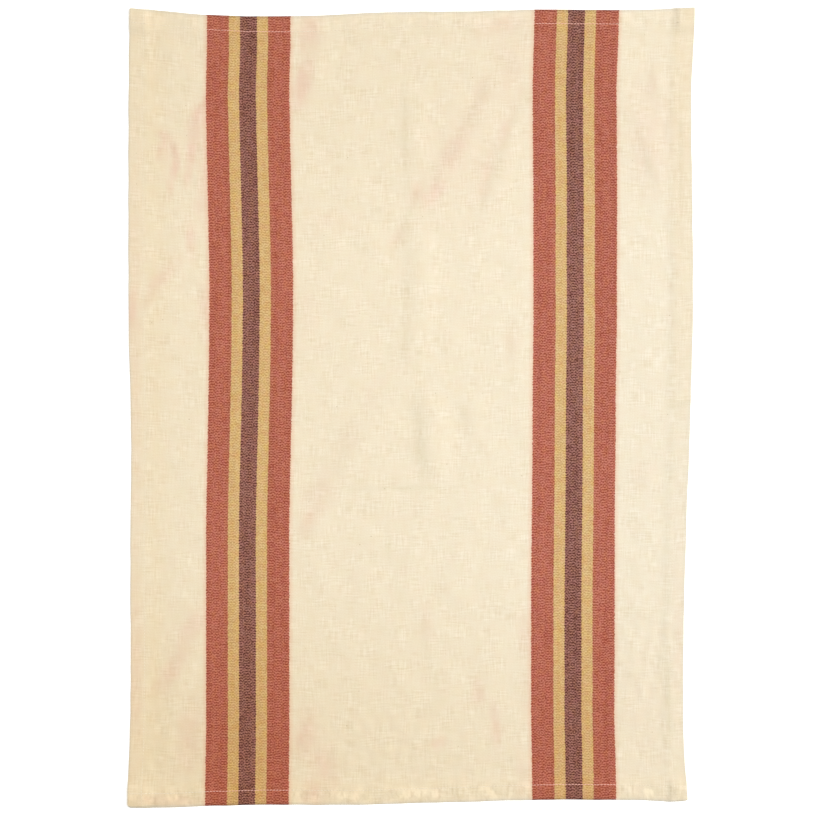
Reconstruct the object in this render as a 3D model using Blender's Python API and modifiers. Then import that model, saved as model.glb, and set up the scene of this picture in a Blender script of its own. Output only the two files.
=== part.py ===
"""Tea towel: one length of woven cotton lying flat, with a hem turned on all four sides.

The towel lies on z = 0, face up, its length along Y and its width along X, and the
origin is under the middle of its outline. It is one sheet: a grid drawn to the
towel's uneven outline, raised a little along its soft folds, and thickened upwards,
more at the hems, where the cloth lies in three layers.
"""

from collections import namedtuple

import bmesh
import bpy
import numpy as np

MM = 0.001

# Driving dimensions, in millimetres.
TOWEL_WIDTH = 502.7
TOWEL_LENGTH = 709.0
CLOTH_THICKNESS = 1.0
CORNER_THICKNESS = 3.0  # where two hems cross; a single hem is half way between
HEM_WIDTH = 14.0
HEM_SLOPE = 1.5  # width over which a hem falls to the plain cloth
CORNER_REACH = 4.0  # the grid's first line, as far in as a corner is rounded

# Cells of the sheet's grid.
CELLS_ACROSS = 46
CELLS_ALONG = 64

# How far each side edge stands in from the widest line, at distances from the top end.
SideStation = namedtuple("SideStation", "along left right")
SIDE_EDGES = [
    SideStation(along=0, left=2.0, right=0.0),
    SideStation(along=30, left=1.7, right=0.8),
    SideStation(along=65, left=1.3, right=2.4),
    SideStation(along=100, left=1.1, right=2.8),
    SideStation(along=170, left=1.0, right=2.0),
    SideStation(along=240, left=1.1, right=1.3),
    SideStation(along=275, left=1.2, right=1.5),
    SideStation(along=345, left=2.8, right=3.1),
    SideStation(along=385, left=3.5, right=4.3),
    SideStation(along=450, left=3.0, right=6.8),
    SideStation(along=525, left=2.9, right=9.0),
    SideStation(along=600, left=3.0, right=9.9),
    SideStation(along=635, left=2.6, right=10.1),
    SideStation(along=670, left=1.1, right=8.7),
    SideStation(along=TOWEL_LENGTH, left=0.0, right=6.0),
]

# How far each end stands in from the longest line, at distances from the left edge.
EndStation = namedtuple("EndStation", "across top bottom")
END_EDGES = [
    EndStation(across=0, top=0.6, bottom=0.0),
    EndStation(across=40, top=4.1, bottom=0.1),
    EndStation(across=75, top=6.8, bottom=1.5),
    EndStation(across=130, top=7.9, bottom=2.5),
    EndStation(across=180, top=6.8, bottom=2.4),
    EndStation(across=215, top=4.7, bottom=2.8),
    EndStation(across=250, top=3.9, bottom=3.9),
    EndStation(across=290, top=3.5, bottom=4.8),
    EndStation(across=325, top=2.8, bottom=5.9),
    EndStation(across=360, top=1.9, bottom=6.8),
    EndStation(across=430, top=2.2, bottom=6.8),
    EndStation(across=465, top=1.9, bottom=6.4),
    EndStation(across=485, top=0.9, bottom=5.7),
    EndStation(across=TOWEL_WIDTH, top=0.0, bottom=6.2),
]

# Soft folds: the middle of each from the towel's centre, its heading clockwise from
# +Y in degrees, its length, its full width and its height.
Fold = namedtuple("Fold", "x y heading length width height")
FOLDS = [
    Fold(x=5, y=232, heading=0, length=130, width=40, height=0.9),
    Fold(x=8, y=98, heading=0, length=200, width=40, height=1.0),
    Fold(x=20, y=-28, heading=-5, length=120, width=44, height=1.3),
    Fold(x=-38, y=-66, heading=90, length=180, width=34, height=0.4),
    Fold(x=57, y=246, heading=32, length=170, width=38, height=0.8),
    Fold(x=81, y=214, heading=17, length=150, width=30, height=0.7),
    Fold(x=-46, y=-40, heading=25, length=120, width=40, height=0.7),
    Fold(x=-82, y=-108, heading=25, length=80, width=34, height=0.5),
    Fold(x=-83, y=304, heading=11, length=120, width=34, height=0.4),
    Fold(x=-223, y=104, heading=31, length=110, width=30, height=0.5),
    Fold(x=-197, y=-223, heading=32, length=110, width=30, height=0.4),
    Fold(x=216, y=222, heading=-18, length=110, width=30, height=0.5),
]

# Roundness of each corner.
CORNER_RADII = {
    "top left": 1.0,
    "top right": 1.0,
    "bottom left": 4.0,
    "bottom right": 2.0,
}

CREAM = (0.87, 0.76, 0.55, 1.0)


def smooth_through(stations, values, at):
    """Read a smooth curve through the stations: on each span, a cubic whose slopes at
    the two ends are the table's own mean slopes there."""
    stations = np.asarray(stations, dtype=float)
    values = np.asarray(values, dtype=float)
    slopes = np.gradient(values, stations)
    span = np.clip(np.searchsorted(stations, at, side="right") - 1, 0, len(stations) - 2)
    size = stations[span + 1] - stations[span]
    t = np.clip((at - stations[span]) / size, 0.0, 1.0)
    blend = t * t * (3.0 - 2.0 * t)
    start_bow = t * (1.0 - t) ** 2 * size * slopes[span]
    end_bow = t * t * (1.0 - t) * size * slopes[span + 1]
    return values[span] * (1.0 - blend) + values[span + 1] * blend + start_bow - end_bow


def grid_lines(size, cells):
    """Distances of the grid's lines from one edge: the corner, the hem and its slope at
    each side, and even cells between."""
    edge = np.array([0.0, CORNER_REACH, HEM_WIDTH - HEM_SLOPE, HEM_WIDTH])
    middle_cells = cells - 2 * (len(edge) - 1)
    middle = np.linspace(HEM_WIDTH, size - HEM_WIDTH, middle_cells + 1)
    return np.concatenate([edge, middle[1:-1], size - edge[::-1]])


def fold_height(x, y):
    """Height of the cloth over the surface: each fold is a low ridge, a squared cosine
    across it and along it, and where folds cross the higher one counts."""
    height = np.zeros_like(x)
    for fold in FOLDS:
        turn = np.radians(fold.heading)
        along = (x - fold.x) * np.sin(turn) + (y - fold.y) * np.cos(turn)
        across = (x - fold.x) * np.cos(turn) - (y - fold.y) * np.sin(turn)
        run = np.clip(np.abs(along) / (fold.length / 2), 0.0, 1.0)
        side = np.clip(np.abs(across) / (fold.width / 2), 0.0, 1.0)
        ridge = fold.height * np.cos(run * np.pi / 2) ** 2 * np.cos(side * np.pi / 2) ** 2
        height = np.maximum(height, ridge)
    return height


def towel_outline(across, along):
    """Place a point given by its distances from the left edge and the top end: its row
    is drawn in to the side edges there, and its column to the two ends."""
    side_along = [station.along for station in SIDE_EDGES]
    left = smooth_through(side_along, [station.left for station in SIDE_EDGES], along)
    right = smooth_through(side_along, [station.right for station in SIDE_EDGES], along)
    end_across = [station.across for station in END_EDGES]
    top = smooth_through(end_across, [station.top for station in END_EDGES], across)
    bottom = smooth_through(end_across, [station.bottom for station in END_EDGES], across)
    x = left + (TOWEL_WIDTH - left - right) * across / TOWEL_WIDTH
    y = -top - (TOWEL_LENGTH - top - bottom) * along / TOWEL_LENGTH
    return x, y


def round_corners(x, y):
    """Pull each corner point in to the middle of its corner's arc."""
    share = 1.0 - np.sqrt(0.5)
    places = {
        "top left": (0, 0, 1, -1),
        "top right": (-1, 0, -1, -1),
        "bottom left": (0, -1, 1, 1),
        "bottom right": (-1, -1, -1, 1),
    }
    for corner, (column, row, right, up) in places.items():
        pull = share * CORNER_RADII[corner]
        x[column, row] += right * pull
        y[column, row] += up * pull


def sheet_points():
    """Work out the sheet's underside: one point for each crossing of the grid's lines."""
    columns = grid_lines(TOWEL_WIDTH, CELLS_ACROSS)
    rows = grid_lines(TOWEL_LENGTH, CELLS_ALONG)
    across, along = np.meshgrid(columns, rows, indexing="ij")
    x, y = towel_outline(across, along)
    round_corners(x, y)
    x -= (x.min() + x.max()) / 2
    y -= (y.min() + y.max()) / 2
    return across, along, x, y, fold_height(x, y)


def hem_weights(across, along):
    """Half for a side hem, half for an end hem: 0 on the plain cloth, 1 in a corner."""
    reach = HEM_WIDTH - HEM_SLOPE / 2
    in_side_hem = (across < reach) | (across > TOWEL_WIDTH - reach)
    in_end_hem = (along < reach) | (along > TOWEL_LENGTH - reach)
    return 0.5 * in_side_hem + 0.5 * in_end_hem


def cloth_material():
    """Undyed cotton: pale, matt, no metal."""
    material = bpy.data.materials.new("undyed_cotton")
    material.use_nodes = True
    shader = material.node_tree.nodes["Principled BSDF"]
    shader.inputs["Base Color"].default_value = CREAM
    shader.inputs["Roughness"].default_value = 0.9
    shader.inputs["Metallic"].default_value = 0.0
    return material


def flat_grid(x, y, z, weights):
    """A grid primitive with its points moved to the given places, in metres, and the
    weights stored on them as the vertex group that Solidify reads first."""
    columns, rows = x.shape
    shape = bmesh.new()
    bmesh.ops.create_grid(shape, x_segments=columns - 1, y_segments=rows - 1, size=1.0)
    hem_layer = shape.verts.layers.deform.new()
    for vertex in shape.verts:
        column = round((vertex.co.x + 1.0) / 2.0 * (columns - 1))
        row = round((1.0 - vertex.co.y) / 2.0 * (rows - 1))
        vertex.co = (x[column, row] * MM, y[column, row] * MM, z[column, row] * MM)
        vertex[hem_layer][0] = weights[column, row]
    mesh = bpy.data.meshes.new("towel_cloth")
    shape.to_mesh(mesh)
    shape.free()
    return mesh


def thicken(towel):
    """Give the sheet its thickness upwards: the plain cloth's where the weight is 0, and
    the corners' where it is 1."""
    towel.vertex_groups.new(name="hem")
    solidify = towel.modifiers.new("cloth_thickness", "SOLIDIFY")
    solidify.thickness = CORNER_THICKNESS * MM
    solidify.offset = 1.0
    solidify.vertex_group = "hem"
    solidify.thickness_vertex_group = CLOTH_THICKNESS / CORNER_THICKNESS


def build_towel_cloth(collection):
    """The towel, hems and all, as one sheet."""
    across, along, x, y, z = sheet_points()
    mesh = flat_grid(x, y, z, hem_weights(across, along))
    towel = bpy.data.objects.new("towel_cloth", mesh)
    collection.objects.link(towel)
    towel.data.materials.append(cloth_material())
    thicken(towel)


def main():
    for old in list(bpy.data.objects):
        bpy.data.objects.remove(old, do_unlink=True)
    collection = bpy.data.collections.new("tea_towel")
    bpy.context.scene.collection.children.link(collection)
    build_towel_cloth(collection)


main()
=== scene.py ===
"""Looks of the tea towel: striped plain-woven cotton lying flat, face up.

The CAD solid gives the width and the length; the main folds below are its own. Here
the same cloth is one thin sheet whose four edges are turned under twice, as they are
sewn, with a row of machine stitches along each hem. Lengths in the tables are in
millimetres.
"""

import logging
from dataclasses import dataclass, field, replace
from enum import Enum
from functools import partial
from typing import Callable, NamedTuple

import bpy
import numpy as np
from bpy.types import Material, Node, NodeSocket, NodeTree, Object
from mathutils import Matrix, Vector


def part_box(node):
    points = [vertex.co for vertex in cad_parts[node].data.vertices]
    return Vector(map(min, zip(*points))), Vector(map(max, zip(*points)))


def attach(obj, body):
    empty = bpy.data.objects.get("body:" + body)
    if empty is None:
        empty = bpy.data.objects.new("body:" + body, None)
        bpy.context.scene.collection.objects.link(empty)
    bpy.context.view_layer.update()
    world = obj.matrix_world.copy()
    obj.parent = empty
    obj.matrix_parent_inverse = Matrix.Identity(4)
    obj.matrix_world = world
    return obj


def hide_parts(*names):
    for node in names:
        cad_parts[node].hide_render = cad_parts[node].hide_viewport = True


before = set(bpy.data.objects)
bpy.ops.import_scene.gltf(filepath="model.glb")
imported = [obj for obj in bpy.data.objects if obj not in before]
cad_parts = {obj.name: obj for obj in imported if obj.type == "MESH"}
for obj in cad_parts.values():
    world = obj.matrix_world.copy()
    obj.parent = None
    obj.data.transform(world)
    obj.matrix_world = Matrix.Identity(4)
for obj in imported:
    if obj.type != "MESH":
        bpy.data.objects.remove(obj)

Array = np.ndarray
MM = 0.001
TURN = 2.0 * np.pi
TINY = 1e-9
CLOTH_NODE = "towel_cloth"
BODY = "root"

log = logging.getLogger("tea_towel")


# ---- tables of the towel


class LengthStation(NamedTuple):
    """One row of the towel's length, at a distance from its top end: how far each side
    edge stands in, how far each band lies to the right of its woven place, and how far
    the right band's outer red spreads."""

    along: float
    left_edge: float
    left_band: float
    right_band: float
    outer_red: float
    right_edge: float


class WidthStation(NamedTuple):
    """One column of the towel's width, at a distance from its left edge: how far
    something stands in from the top and from the bottom."""

    across: float
    top: float
    bottom: float


class Patch(NamedTuple):
    """A long soft patch of the cloth: its middle from the towel's centre, its heading
    clockwise from +Y in degrees, its length and width, and how much of something it
    holds: millimetres of height, less than 0 in a trough, or the strength of a stain."""

    x: float
    y: float
    heading: float
    length: float
    width: float
    amount: float


class Stripe(NamedTuple):
    """A warp stripe of a band: where it starts from the band's middle, the width over
    which it takes over, and the two colours that its weave shows."""

    start: float
    takeover: float
    shade: str
    light: str


class Grain(NamedTuple):
    """Smooth noise on the flat cloth: its size across and along in millimetres, its
    octaves of finer noise, and its depth, which makes one noise unlike another."""

    across: float
    along: float
    detail: float
    depth: float


def table(row_class: type, *rows: tuple) -> tuple:
    """Give plain rows the column names of their class."""
    return tuple(row_class(*row) for row in rows)


LENGTH_STATIONS = table(
    LengthStation,
    # along, left edge, left band, right band, outer red, right edge
    (0, 2.0, -0.3, 1.8, 0.8, 0.0),
    (30, 1.7, -0.3, 1.0, 0.7, 0.8),
    (65, 1.3, -1.2, 0.1, 0.4, 2.4),
    (100, 1.1, -0.7, 0.1, 0.6, 2.8),
    (170, 1.0, 0.9, 0.6, 0.3, 2.0),
    (240, 1.1, 2.2, 0.5, 0.1, 1.3),
    (275, 1.2, 2.1, 0.6, 0.0, 1.5),
    (345, 2.8, 1.1, -0.1, -0.1, 3.1),
    (385, 3.5, 0.2, -0.2, 0.0, 4.3),
    (450, 3.0, -1.1, -0.7, 0.0, 6.8),
    (525, 2.9, -1.2, -1.4, 0.8, 9.0),
    (600, 3.0, -1.2, -1.4, 0.8, 9.9),
    (635, 2.6, -1.2, -1.4, 0.6, 10.1),
    (670, 1.1, -1.5, -0.7, 0.8, 8.7),
    (708.9, 0.0, -1.9, -0.4, 1.0, 6.0),
)

# How far each end stands in from the towel's longest line.
END_EDGES = table(
    WidthStation,
    # across, top, bottom
    (0, 0.6, 0.0),
    (40, 4.1, 0.1),
    (75, 6.8, 1.5),
    (130, 7.9, 2.5),
    (180, 6.8, 2.4),
    (215, 4.7, 2.8),
    (250, 3.9, 3.9),
    (290, 3.5, 4.8),
    (325, 2.8, 5.9),
    (360, 1.9, 6.8),
    (430, 2.2, 6.8),
    (465, 1.9, 6.4),
    (485, 0.9, 5.7),
    (502.4, 0.0, 6.2),
)

# How far the end hems' stitches run from the ends.
END_SEAMS = table(
    WidthStation,
    # across, top, bottom
    (0, 12.8, 12.6),
    (72, 13.4, 13.0),
    (145, 14.3, 13.3),
    (250, 13.6, 13.0),
    (360, 12.7, 13.6),
    (432, 12.7, 13.8),
    (502.4, 12.8, 13.4),
)

# The solid's own folds: the lengthwise and cross creases of a towel that was kept
# folded in four, and the slanting ones of its last shaking out.
MAIN_FOLDS = table(
    Patch,
    # x, y, heading, length, width, amount, as in all tables of patches
    (5, 232, 0, 130, 40, 0.9),
    (8, 98, 0, 200, 40, 1.0),
    (20, -28, -5, 120, 44, 1.3),
    (-38, -66, 90, 180, 34, 0.4),
    (57, 246, 32, 170, 38, 0.8),
    (81, 214, 17, 150, 30, 0.7),
    (-46, -40, 25, 120, 40, 0.7),
    (-82, -108, 25, 80, 34, 0.5),
    (-83, 304, 11, 120, 34, 0.4),
    (-223, 104, 31, 110, 30, 0.5),
    (-197, -223, 32, 110, 30, 0.4),
    (216, 222, -18, 110, 30, 0.5),
)

# Narrow creases that only the thin sheet shows.
FINE_CREASES = table(
    Patch,
    (-3, 176, 32, 60, 12, -0.21),
    (-12, 144, 24, 60, 11, -0.24),
    (-38, -72.5, 90, 160, 9, -0.21),
    (70, 13, 90, 90, 10, -0.09),
    (80, 292, 12, 70, 16, -0.18),
    (95, 56, 0, 60, 24, 0.36),
    (56, -12, 5, 64, 24, 0.36),
    (-205, 222, -8, 60, 18, 0.22),
    (-184, 258, 24, 50, 16, 0.48),
    (219, 284, -6, 56, 22, 0.36),
    (209, -62, 0, 30, 18, 0.3),
    (64, -250, -12, 60, 18, 0.09),
    (80, -285, -6, 54, 16, 0.12),
    (17, -206, -10, 60, 16, 0.27),
    (-66, -290, 20, 50, 16, 0.24),
    (-20, -300, -30, 40, 14, 0.18),
    (206, -250, -23, 90, 14, 0.3),
    (194, -206, -30, 50, 12, 0.3),
    (190, -228, -38, 44, 11, 0.27),
    (208, -318, -24, 30, 10, 0.21),
    (228, -322, 30, 26, 9, 0.21),
    (238, 2.5, 84, 30, 8, -0.27),
    (240, -24, -50, 24, 8, -0.18),
)

# Where the cloth is finely crumpled.
CRUMPLES = table(
    Patch,
    (-20, -300, 90, 280, 110, 1.5),
    (-210, -290, 0, 200, 90, 1.2),
    (212, -230, 0, 260, 90, 1.2),
    (210, 250, 0, 200, 90, 0.5),
    (-205, 240, 0, 150, 90, 0.6),
    (40, 210, 20, 200, 160, 0.4),
)

# Where the red dye has run into the undyed cloth.
DYE_STAINS = table(
    Patch,
    (-90, 332, 8, 64, 34, 0.8),
    (-96, 286, 12, 76, 24, 1.2),
    (-220, 231, 18, 38, 12, 0.9),
    (-217, 240, 112, 28, 14, 0.7),
    (-209, 227, -14, 38, 12, 1.1),
    (-209, 212, 12, 40, 12, 1.3),
    (-213, 196, 4, 36, 11, 0.7),
    (-215, 228, 0, 44, 28, 0.4),
    (-188, 262, 32, 48, 14, 1.2),
    (-194, 246, 8, 34, 14, 1.0),
    (-189, 248, 13, 64, 24, 0.9),
    (-194, 226, 6, 48, 18, 1.1),
    (-197, 208, 12, 36, 12, 0.9),
    (-186, 184, 24, 48, 20, 0.6),
    (-183, 205, 0, 150, 18, 0.6),
    (-195, 150, 2, 50, 14, 0.9),
    (-221, 114, 40, 70, 22, 0.6),
    (-232, 97, 38, 80, 16, 0.3),
    (-247, 86, 4, 70, 16, 1.1),
    (-183, 88, 0, 70, 16, 0.65),
    (-244, 40, 0, 640, 20, 0.32),
    (-244, -230, 0, 260, 24, 0.5),
    (-195, -196, 32, 70, 26, 0.75),
    (-212, -233, 34, 76, 26, 0.7),
    (-196, -292, 6, 100, 34, 0.6),
    (-215, -348, 90, 110, 18, 0.5),
    (-70, 164, 90, 70, 28, 0.25),
    (-92, 82, 0, 100, 30, 0.2),
    (6, 190, 30, 44, 22, 0.6),
    (38, 226, 28, 100, 34, 0.7),
    (20, 190, 42, 54, 28, 0.8),
    (60, 272, 24, 80, 26, 0.45),
    (50, 225, 25, 190, 140, 0.18),
    (88, 300, 0, 140, 56, 0.3),
    (82, 244, 20, 56, 20, 0.6),
    (66, 205, 12, 80, 20, 0.55),
    (-13, 149, 30, 46, 16, 0.4),
    (90, 56, 0, 60, 18, 0.3),
    (-33, 15, 24, 66, 24, 0.2),
    (-56, -30, 24, 66, 30, 0.2),
    (-80, -76, 24, 90, 38, 0.35),
    (-90, -99, 20, 56, 22, 0.6),
    (-93, -290, 10, 66, 30, 0.8),
    (-96, -292, 18, 54, 16, 1.0),
    (-78, -316, -20, 70, 38, 0.6),
    (-86, -342, 0, 44, 36, 0.7),
    (60, -252, 0, 38, 20, 0.65),
    (75, -281, -4, 72, 16, 0.65),
    (101, -200, 0, 70, 18, 0.5),
    (101, -256, 0, 100, 18, 0.18),
    (100, -324, 0, 76, 20, 0.4),
    (14, -190, 0, 56, 20, 0.3),
    (24, -297, 60, 22, 13, 0.9),
    (80, 338, 80, 80, 30, 0.5),
    (212, 240, 0, 150, 66, 0.4),
    (213, 286, 0, 50, 18, 0.5),
    (240, 240, 0, 280, 16, 0.1),
    (236, -190, 0, 280, 16, 0.2),
    (206, -60, 0, 56, 38, 0.2),
    (204, -270, 0, 190, 64, 0.12),
)

# Painted shade along the creases and the hem seams: greyish marks.
CREASE_SHADE_MARKS = table(
    Patch,
    (7, 190, 30, 30, 18, 0.45),
    (-7, 160, 24, 100, 8, 0.9),
    (30, 220, 31, 90, 26, 0.35),
    (60, 272, 31, 130, 13, 0.45),
    (98, 268, 32, 80, 11, 0.4),
    (77, 218, 19, 180, 10, 0.55),
    (-5, 238, 0, 170, 9, 0.75),
    (-5, 74, 0, 170, 10, 0.5),
    (-3, 160, 0, 330, 18, 0.2),
    (8, -31, -4, 140, 16, 0.65),
    (-72, -71.5, 90, 100, 5, 0.6),
    (-4, -71.5, 90, 110, 6, 0.7),
    (-60, -38, 18, 110, 24, 0.4),
    (-92, -102, 16, 80, 18, 0.1),
    (-20, -121, 0, 50, 8, 0.7),
    (-209, 222, -8, 54, 10, 0.35),
    (-216, 240, 80, 24, 12, 0.25),
    (-232, 96, 31, 100, 12, 0.1),
    (-247, 74, 0, 36, 8, 0.35),
    (-205, -224, 30, 90, 12, 0.1),
    (208, 222, -20, 110, 13, 0.5),
    (213, 292, 0, 44, 14, 0.25),
    (88, 58, 0, 60, 13, 0.5),
    (48, -8, 0, 60, 14, 0.3),
    (206, -60, 0, 34, 14, 0.5),
    (13, -206, -8, 80, 10, 0.3),
    (-96, -292, 18, 54, 16, 0.4),
    (-194, -300, 0, 80, 24, 0.25),
    (236.5, 334, 0, 50, 4, 0.3),
    (233, 284, 4, 80, 7, 0.2),
    (239, 224, 0, 220, 9, 0.65),
    (228, -258, -2, 130, 7, 1.1),
    (230, -338, 0, 36, 4, 0.9),
    (-246, -344, -20, 20, 9, 0.4),
    (-228, -352, 90, 44, 6, 0.6),
    (-246, -350.5, 110, 26, 7, 0.8),
    (231, -60, 4, 150, 9, 0.3),
    (238, 2.5, 84, 30, 6, 1.6),
)

# Half of a band, from its middle out. The light colour is the undyed weft showing
# between the dyed warp threads.
BAND_STRIPES = table(
    Stripe,
    # start, takeover, shade, light
    (0.0, 0.0, "#4A2016", "#A2746A"),  # plum
    (7.5, 0.5, "#B0905F", "#D5B885"),  # gold
    (17.3, 0.5, "#854127", "#BC7B67"),  # red by the gold
    (20.0, 2.4, "#863D2B", "#BF7968"),  # red
    (37.1, 0.6, "#D9BEA6", "#DEC4AE"),  # stained cream
    (39.4, 3.6, "#DED2BC", "#DFD6C0"),  # cream
)
BAND_REACH = 50.0
RED_EDGE = BAND_STRIPES[-2].start
RED_WIDTH = RED_EDGE - BAND_STRIPES[2].start

# The cotton's noises. Real threads are about 0.55 mm apart; the yarns and slubs are
# drawn a little over twice as thick, to show.
GRAINS = {
    # across, along, detail, depth
    "rib drift": Grain(22.0, 30.8, 2.0, 1.7),
    "weft yarn": Grain(9.0, 1.3, 1.0, 5.1),
    "warp yarn": Grain(1.3, 22.0, 1.0, 7.3),
    "fine grain": Grain(1.2, 1.2, 1.0, 9.9),
    "stripe edge": Grain(3.0, 1.6, 1.0, 3.3),
    "warp columns": Grain(4.0, 300.0, 0.0, 2.2),
    "slub patches": Grain(16.0, 16.0, 1.0, 19.0),
    "warp slubs": Grain(1.3, 14.0, 0.0, 21.0),
    "weft slubs": Grain(12.0, 1.3, 0.0, 27.0),
    # Painted highlights on the hem puckers, and painted shade between them.
    "hem pucker highlights": Grain(13.0, 14.0, 1.0, 51.0),
    "hem shadows": Grain(4.0, 12.0, 1.0, 55.0),
    "hem tucks": Grain(5.0, 8.0, 2.0, 47.0),
    "blots": Grain(8.0, 11.0, 4.0, 14.0),
    # Breaks up the painted shade along the creases and hem seams.
    "crease_speckle": Grain(2.0, 6.0, 3.0, 17.0),
    "long cream clouds": Grain(9.0, 13.0, 2.0, 31.0),
    "wide cream clouds": Grain(14.0, 10.0, 2.0, 37.0),
    "long band clouds": Grain(5.0, 9.0, 2.0, 41.0),
    "wide band clouds": Grain(8.0, 6.0, 2.0, 43.0),
}


# ---- small helpers


class HemRun(Enum):
    """Which pair of hems a row of stitches belongs to."""

    SIDES = "side"
    ENDS = "end"


class ClothFace(Enum):
    """Which face of the cloth a row of stitches shows on."""

    FACE = "face"
    UNDERSIDE = "underside"


def linear_colour(hex_colour: str) -> tuple[float, float, float, float]:
    """Turn an sRGB hex colour into linear RGBA.

    Args:
        hex_colour: a colour such as "#C0A080".

    Returns:
        Red, green, blue and alpha as linear numbers from 0 to 1.
    """
    parts = np.array([int(hex_colour[i : i + 2], 16) for i in (1, 3, 5)]) / 255.0
    linear = np.where(parts <= 0.04045, parts / 12.92, ((parts + 0.055) / 1.055) ** 2.4)
    return (*(float(value) for value in linear), 1.0)


def add_node(
    tree: NodeTree,
    kind: str,
    *values: object,
    sockets: dict[int | str, object] | None = None,
    stops: tuple[tuple[float, str], ...] = (),
    **settings: object,
) -> Node:
    """Add one shader node with its settings and links.

    Args:
        tree: the material's node tree.
        kind: the node's type, or in capitals an operation of the Math node.
        *values: for each of the first input sockets, a value, a hex colour, a socket to
            link, or a node whose first output is linked.
        sockets: the same for other input sockets, by number or name.
        stops: for a colour ramp, its positions and hex colours.
        **settings: the node's own properties.

    Returns:
        The new node.
    """
    if kind.isupper():
        kind, settings = "Math", {"operation": kind}
    node = tree.nodes.new(f"ShaderNode{kind}")
    for name, value in settings.items():
        setattr(node, name, value)
    for socket, value in {**dict(enumerate(values)), **(sockets or {})}.items():
        value = value.outputs[0] if isinstance(value, Node) else value
        value = linear_colour(value) if isinstance(value, str) else value
        if isinstance(value, NodeSocket):
            tree.links.new(value, node.inputs[socket])
        else:
            node.inputs[socket].default_value = value
    for number, (position, hex_colour) in enumerate(stops):
        ramp = node.color_ramp.elements
        stop = ramp[number] if number < len(ramp) else ramp.new(position)
        stop.position = position
        stop.color = linear_colour(hex_colour)
    return node


def new_material(name: str, **values: object) -> tuple[Material, Node, Callable[..., Node]]:
    """Start a material.

    Args:
        name: the finish's name.
        **values: values of the shader's own sockets, with _ for each space.

    Returns:
        The material, its shader, and add_node on its node tree.
    """
    material = bpy.data.materials.new(name)
    material.use_nodes = True
    tree = material.node_tree
    shader = tree.nodes["Principled BSDF"]
    for socket, value in values.items():
        shader.inputs[socket.replace("_", " ")].default_value = value
    return material, shader, partial(add_node, tree)


def add_object(name: str, data: bpy.types.ID) -> Object:
    """Put a mesh, a lamp or a camera into the scene as an object at the origin."""
    made = bpy.data.objects.new(name, data)
    bpy.context.scene.collection.objects.link(made)
    return made


def add_mesh(name: str, places: Array, faces: list | Array) -> Object:
    """Put a smoothly shaded mesh into the scene.

    Args:
        name: the piece's name.
        places: its points in metres, in the shape (points, 3).
        faces: the numbers of each face's points, which turn left as seen from outside.

    Returns:
        The new object, at the origin.
    """
    mesh = bpy.data.meshes.new(name)
    mesh.from_pydata(places, [], faces)
    mesh.shade_smooth()
    mesh.validate()
    return add_object(name, mesh)


def share(at: Array, start: float | Array, end: float | Array) -> Array:
    """How far a point is from start to end, from 0 to 1."""
    return np.clip((at - start) / (end - start), 0.0, 1.0)


def ease(at: Array, start: float | Array, end: float | Array) -> Array:
    """Go softly from 0 at start to 1 at end: three t squared less two t cubed."""
    t = share(at, start, end)
    return t * t * (3.0 - 2.0 * t)


def bell(distance: Array, width: float) -> Array:
    """A bell curve: e to the power of minus the squared distance over the width."""
    return np.exp(-((distance / width) ** 2))


def smooth_through(stations: Array, values: Array, at: Array) -> Array:
    """Read a smooth curve through stations: on each span, a cubic whose slopes at the
    two ends are the values' own mean slopes there.

    Args:
        stations: rising distances.
        values: the value at each of them.
        at: distances to read.

    Returns:
        The curve's values, in at's shape.
    """
    slopes = np.gradient(values, stations)
    span = np.clip(np.searchsorted(stations, at, side="right") - 1, 0, len(stations) - 2)
    size = stations[span + 1] - stations[span]
    t = share(at, stations[span], stations[span + 1])
    blend = ease(t, 0.0, 1.0)
    start_bow = t * (1.0 - t) ** 2 * size * slopes[span]
    end_bow = t * t * (1.0 - t) * size * slopes[span + 1]
    return values[span] * (1.0 - blend) + values[span + 1] * blend + start_bow - end_bow


def read_column(rows: tuple, name: str, at: Array) -> Array:
    """Read one column of a table as a smooth curve over its first column.

    Args:
        rows: the table.
        name: the column's name.
        at: distances to read.

    Returns:
        The curve's values, in at's shape.
    """
    columns = np.array(rows, dtype=float).T
    return smooth_through(columns[0], columns[rows[0]._fields.index(name)], at)


def uneven_line(at: Array, spacing: float, seed: int) -> Array:
    """Read a random smooth line, which goes through random values at even knots.

    Args:
        at: distances to read, from 0 up.
        spacing: distance between the knots.
        seed: seed of the random values.

    Returns:
        Values from about -1 to 1, in at's shape.
    """
    knots = np.arange(0.0, float(np.max(at)) + 3.0 * spacing, spacing)
    values = np.random.default_rng(seed).uniform(-1.0, 1.0, len(knots))
    return smooth_through(knots, values, at)


def waves(x: Array, y: Array, wavelength: float, seed: int, terms: int = 14) -> Array:
    """Even unevenness: a sum of cosine waves, each with 0.7 to 1.4 turns to a wavelength
    and its own random heading and phase, scaled to a spread of about 1.

    Args:
        x: places right of the towel's centre.
        y: places up from the centre.
        wavelength: mean length of the waves, in the same unit.
        seed: seed of the random headings.
        terms: how many waves are added.

    Returns:
        The sum at each point.
    """
    random = np.random.default_rng(seed)
    total = np.zeros(np.broadcast(x, y).shape)
    for _ in range(terms):
        heading = random.uniform(0.0, np.pi)
        turns = random.uniform(0.7, 1.4) / wavelength
        phase = random.uniform(0.0, TURN)
        total += np.cos(TURN * turns * (x * np.cos(heading) + y * np.sin(heading)) + phase)
    return total * np.sqrt(2.0 / terms)


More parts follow.
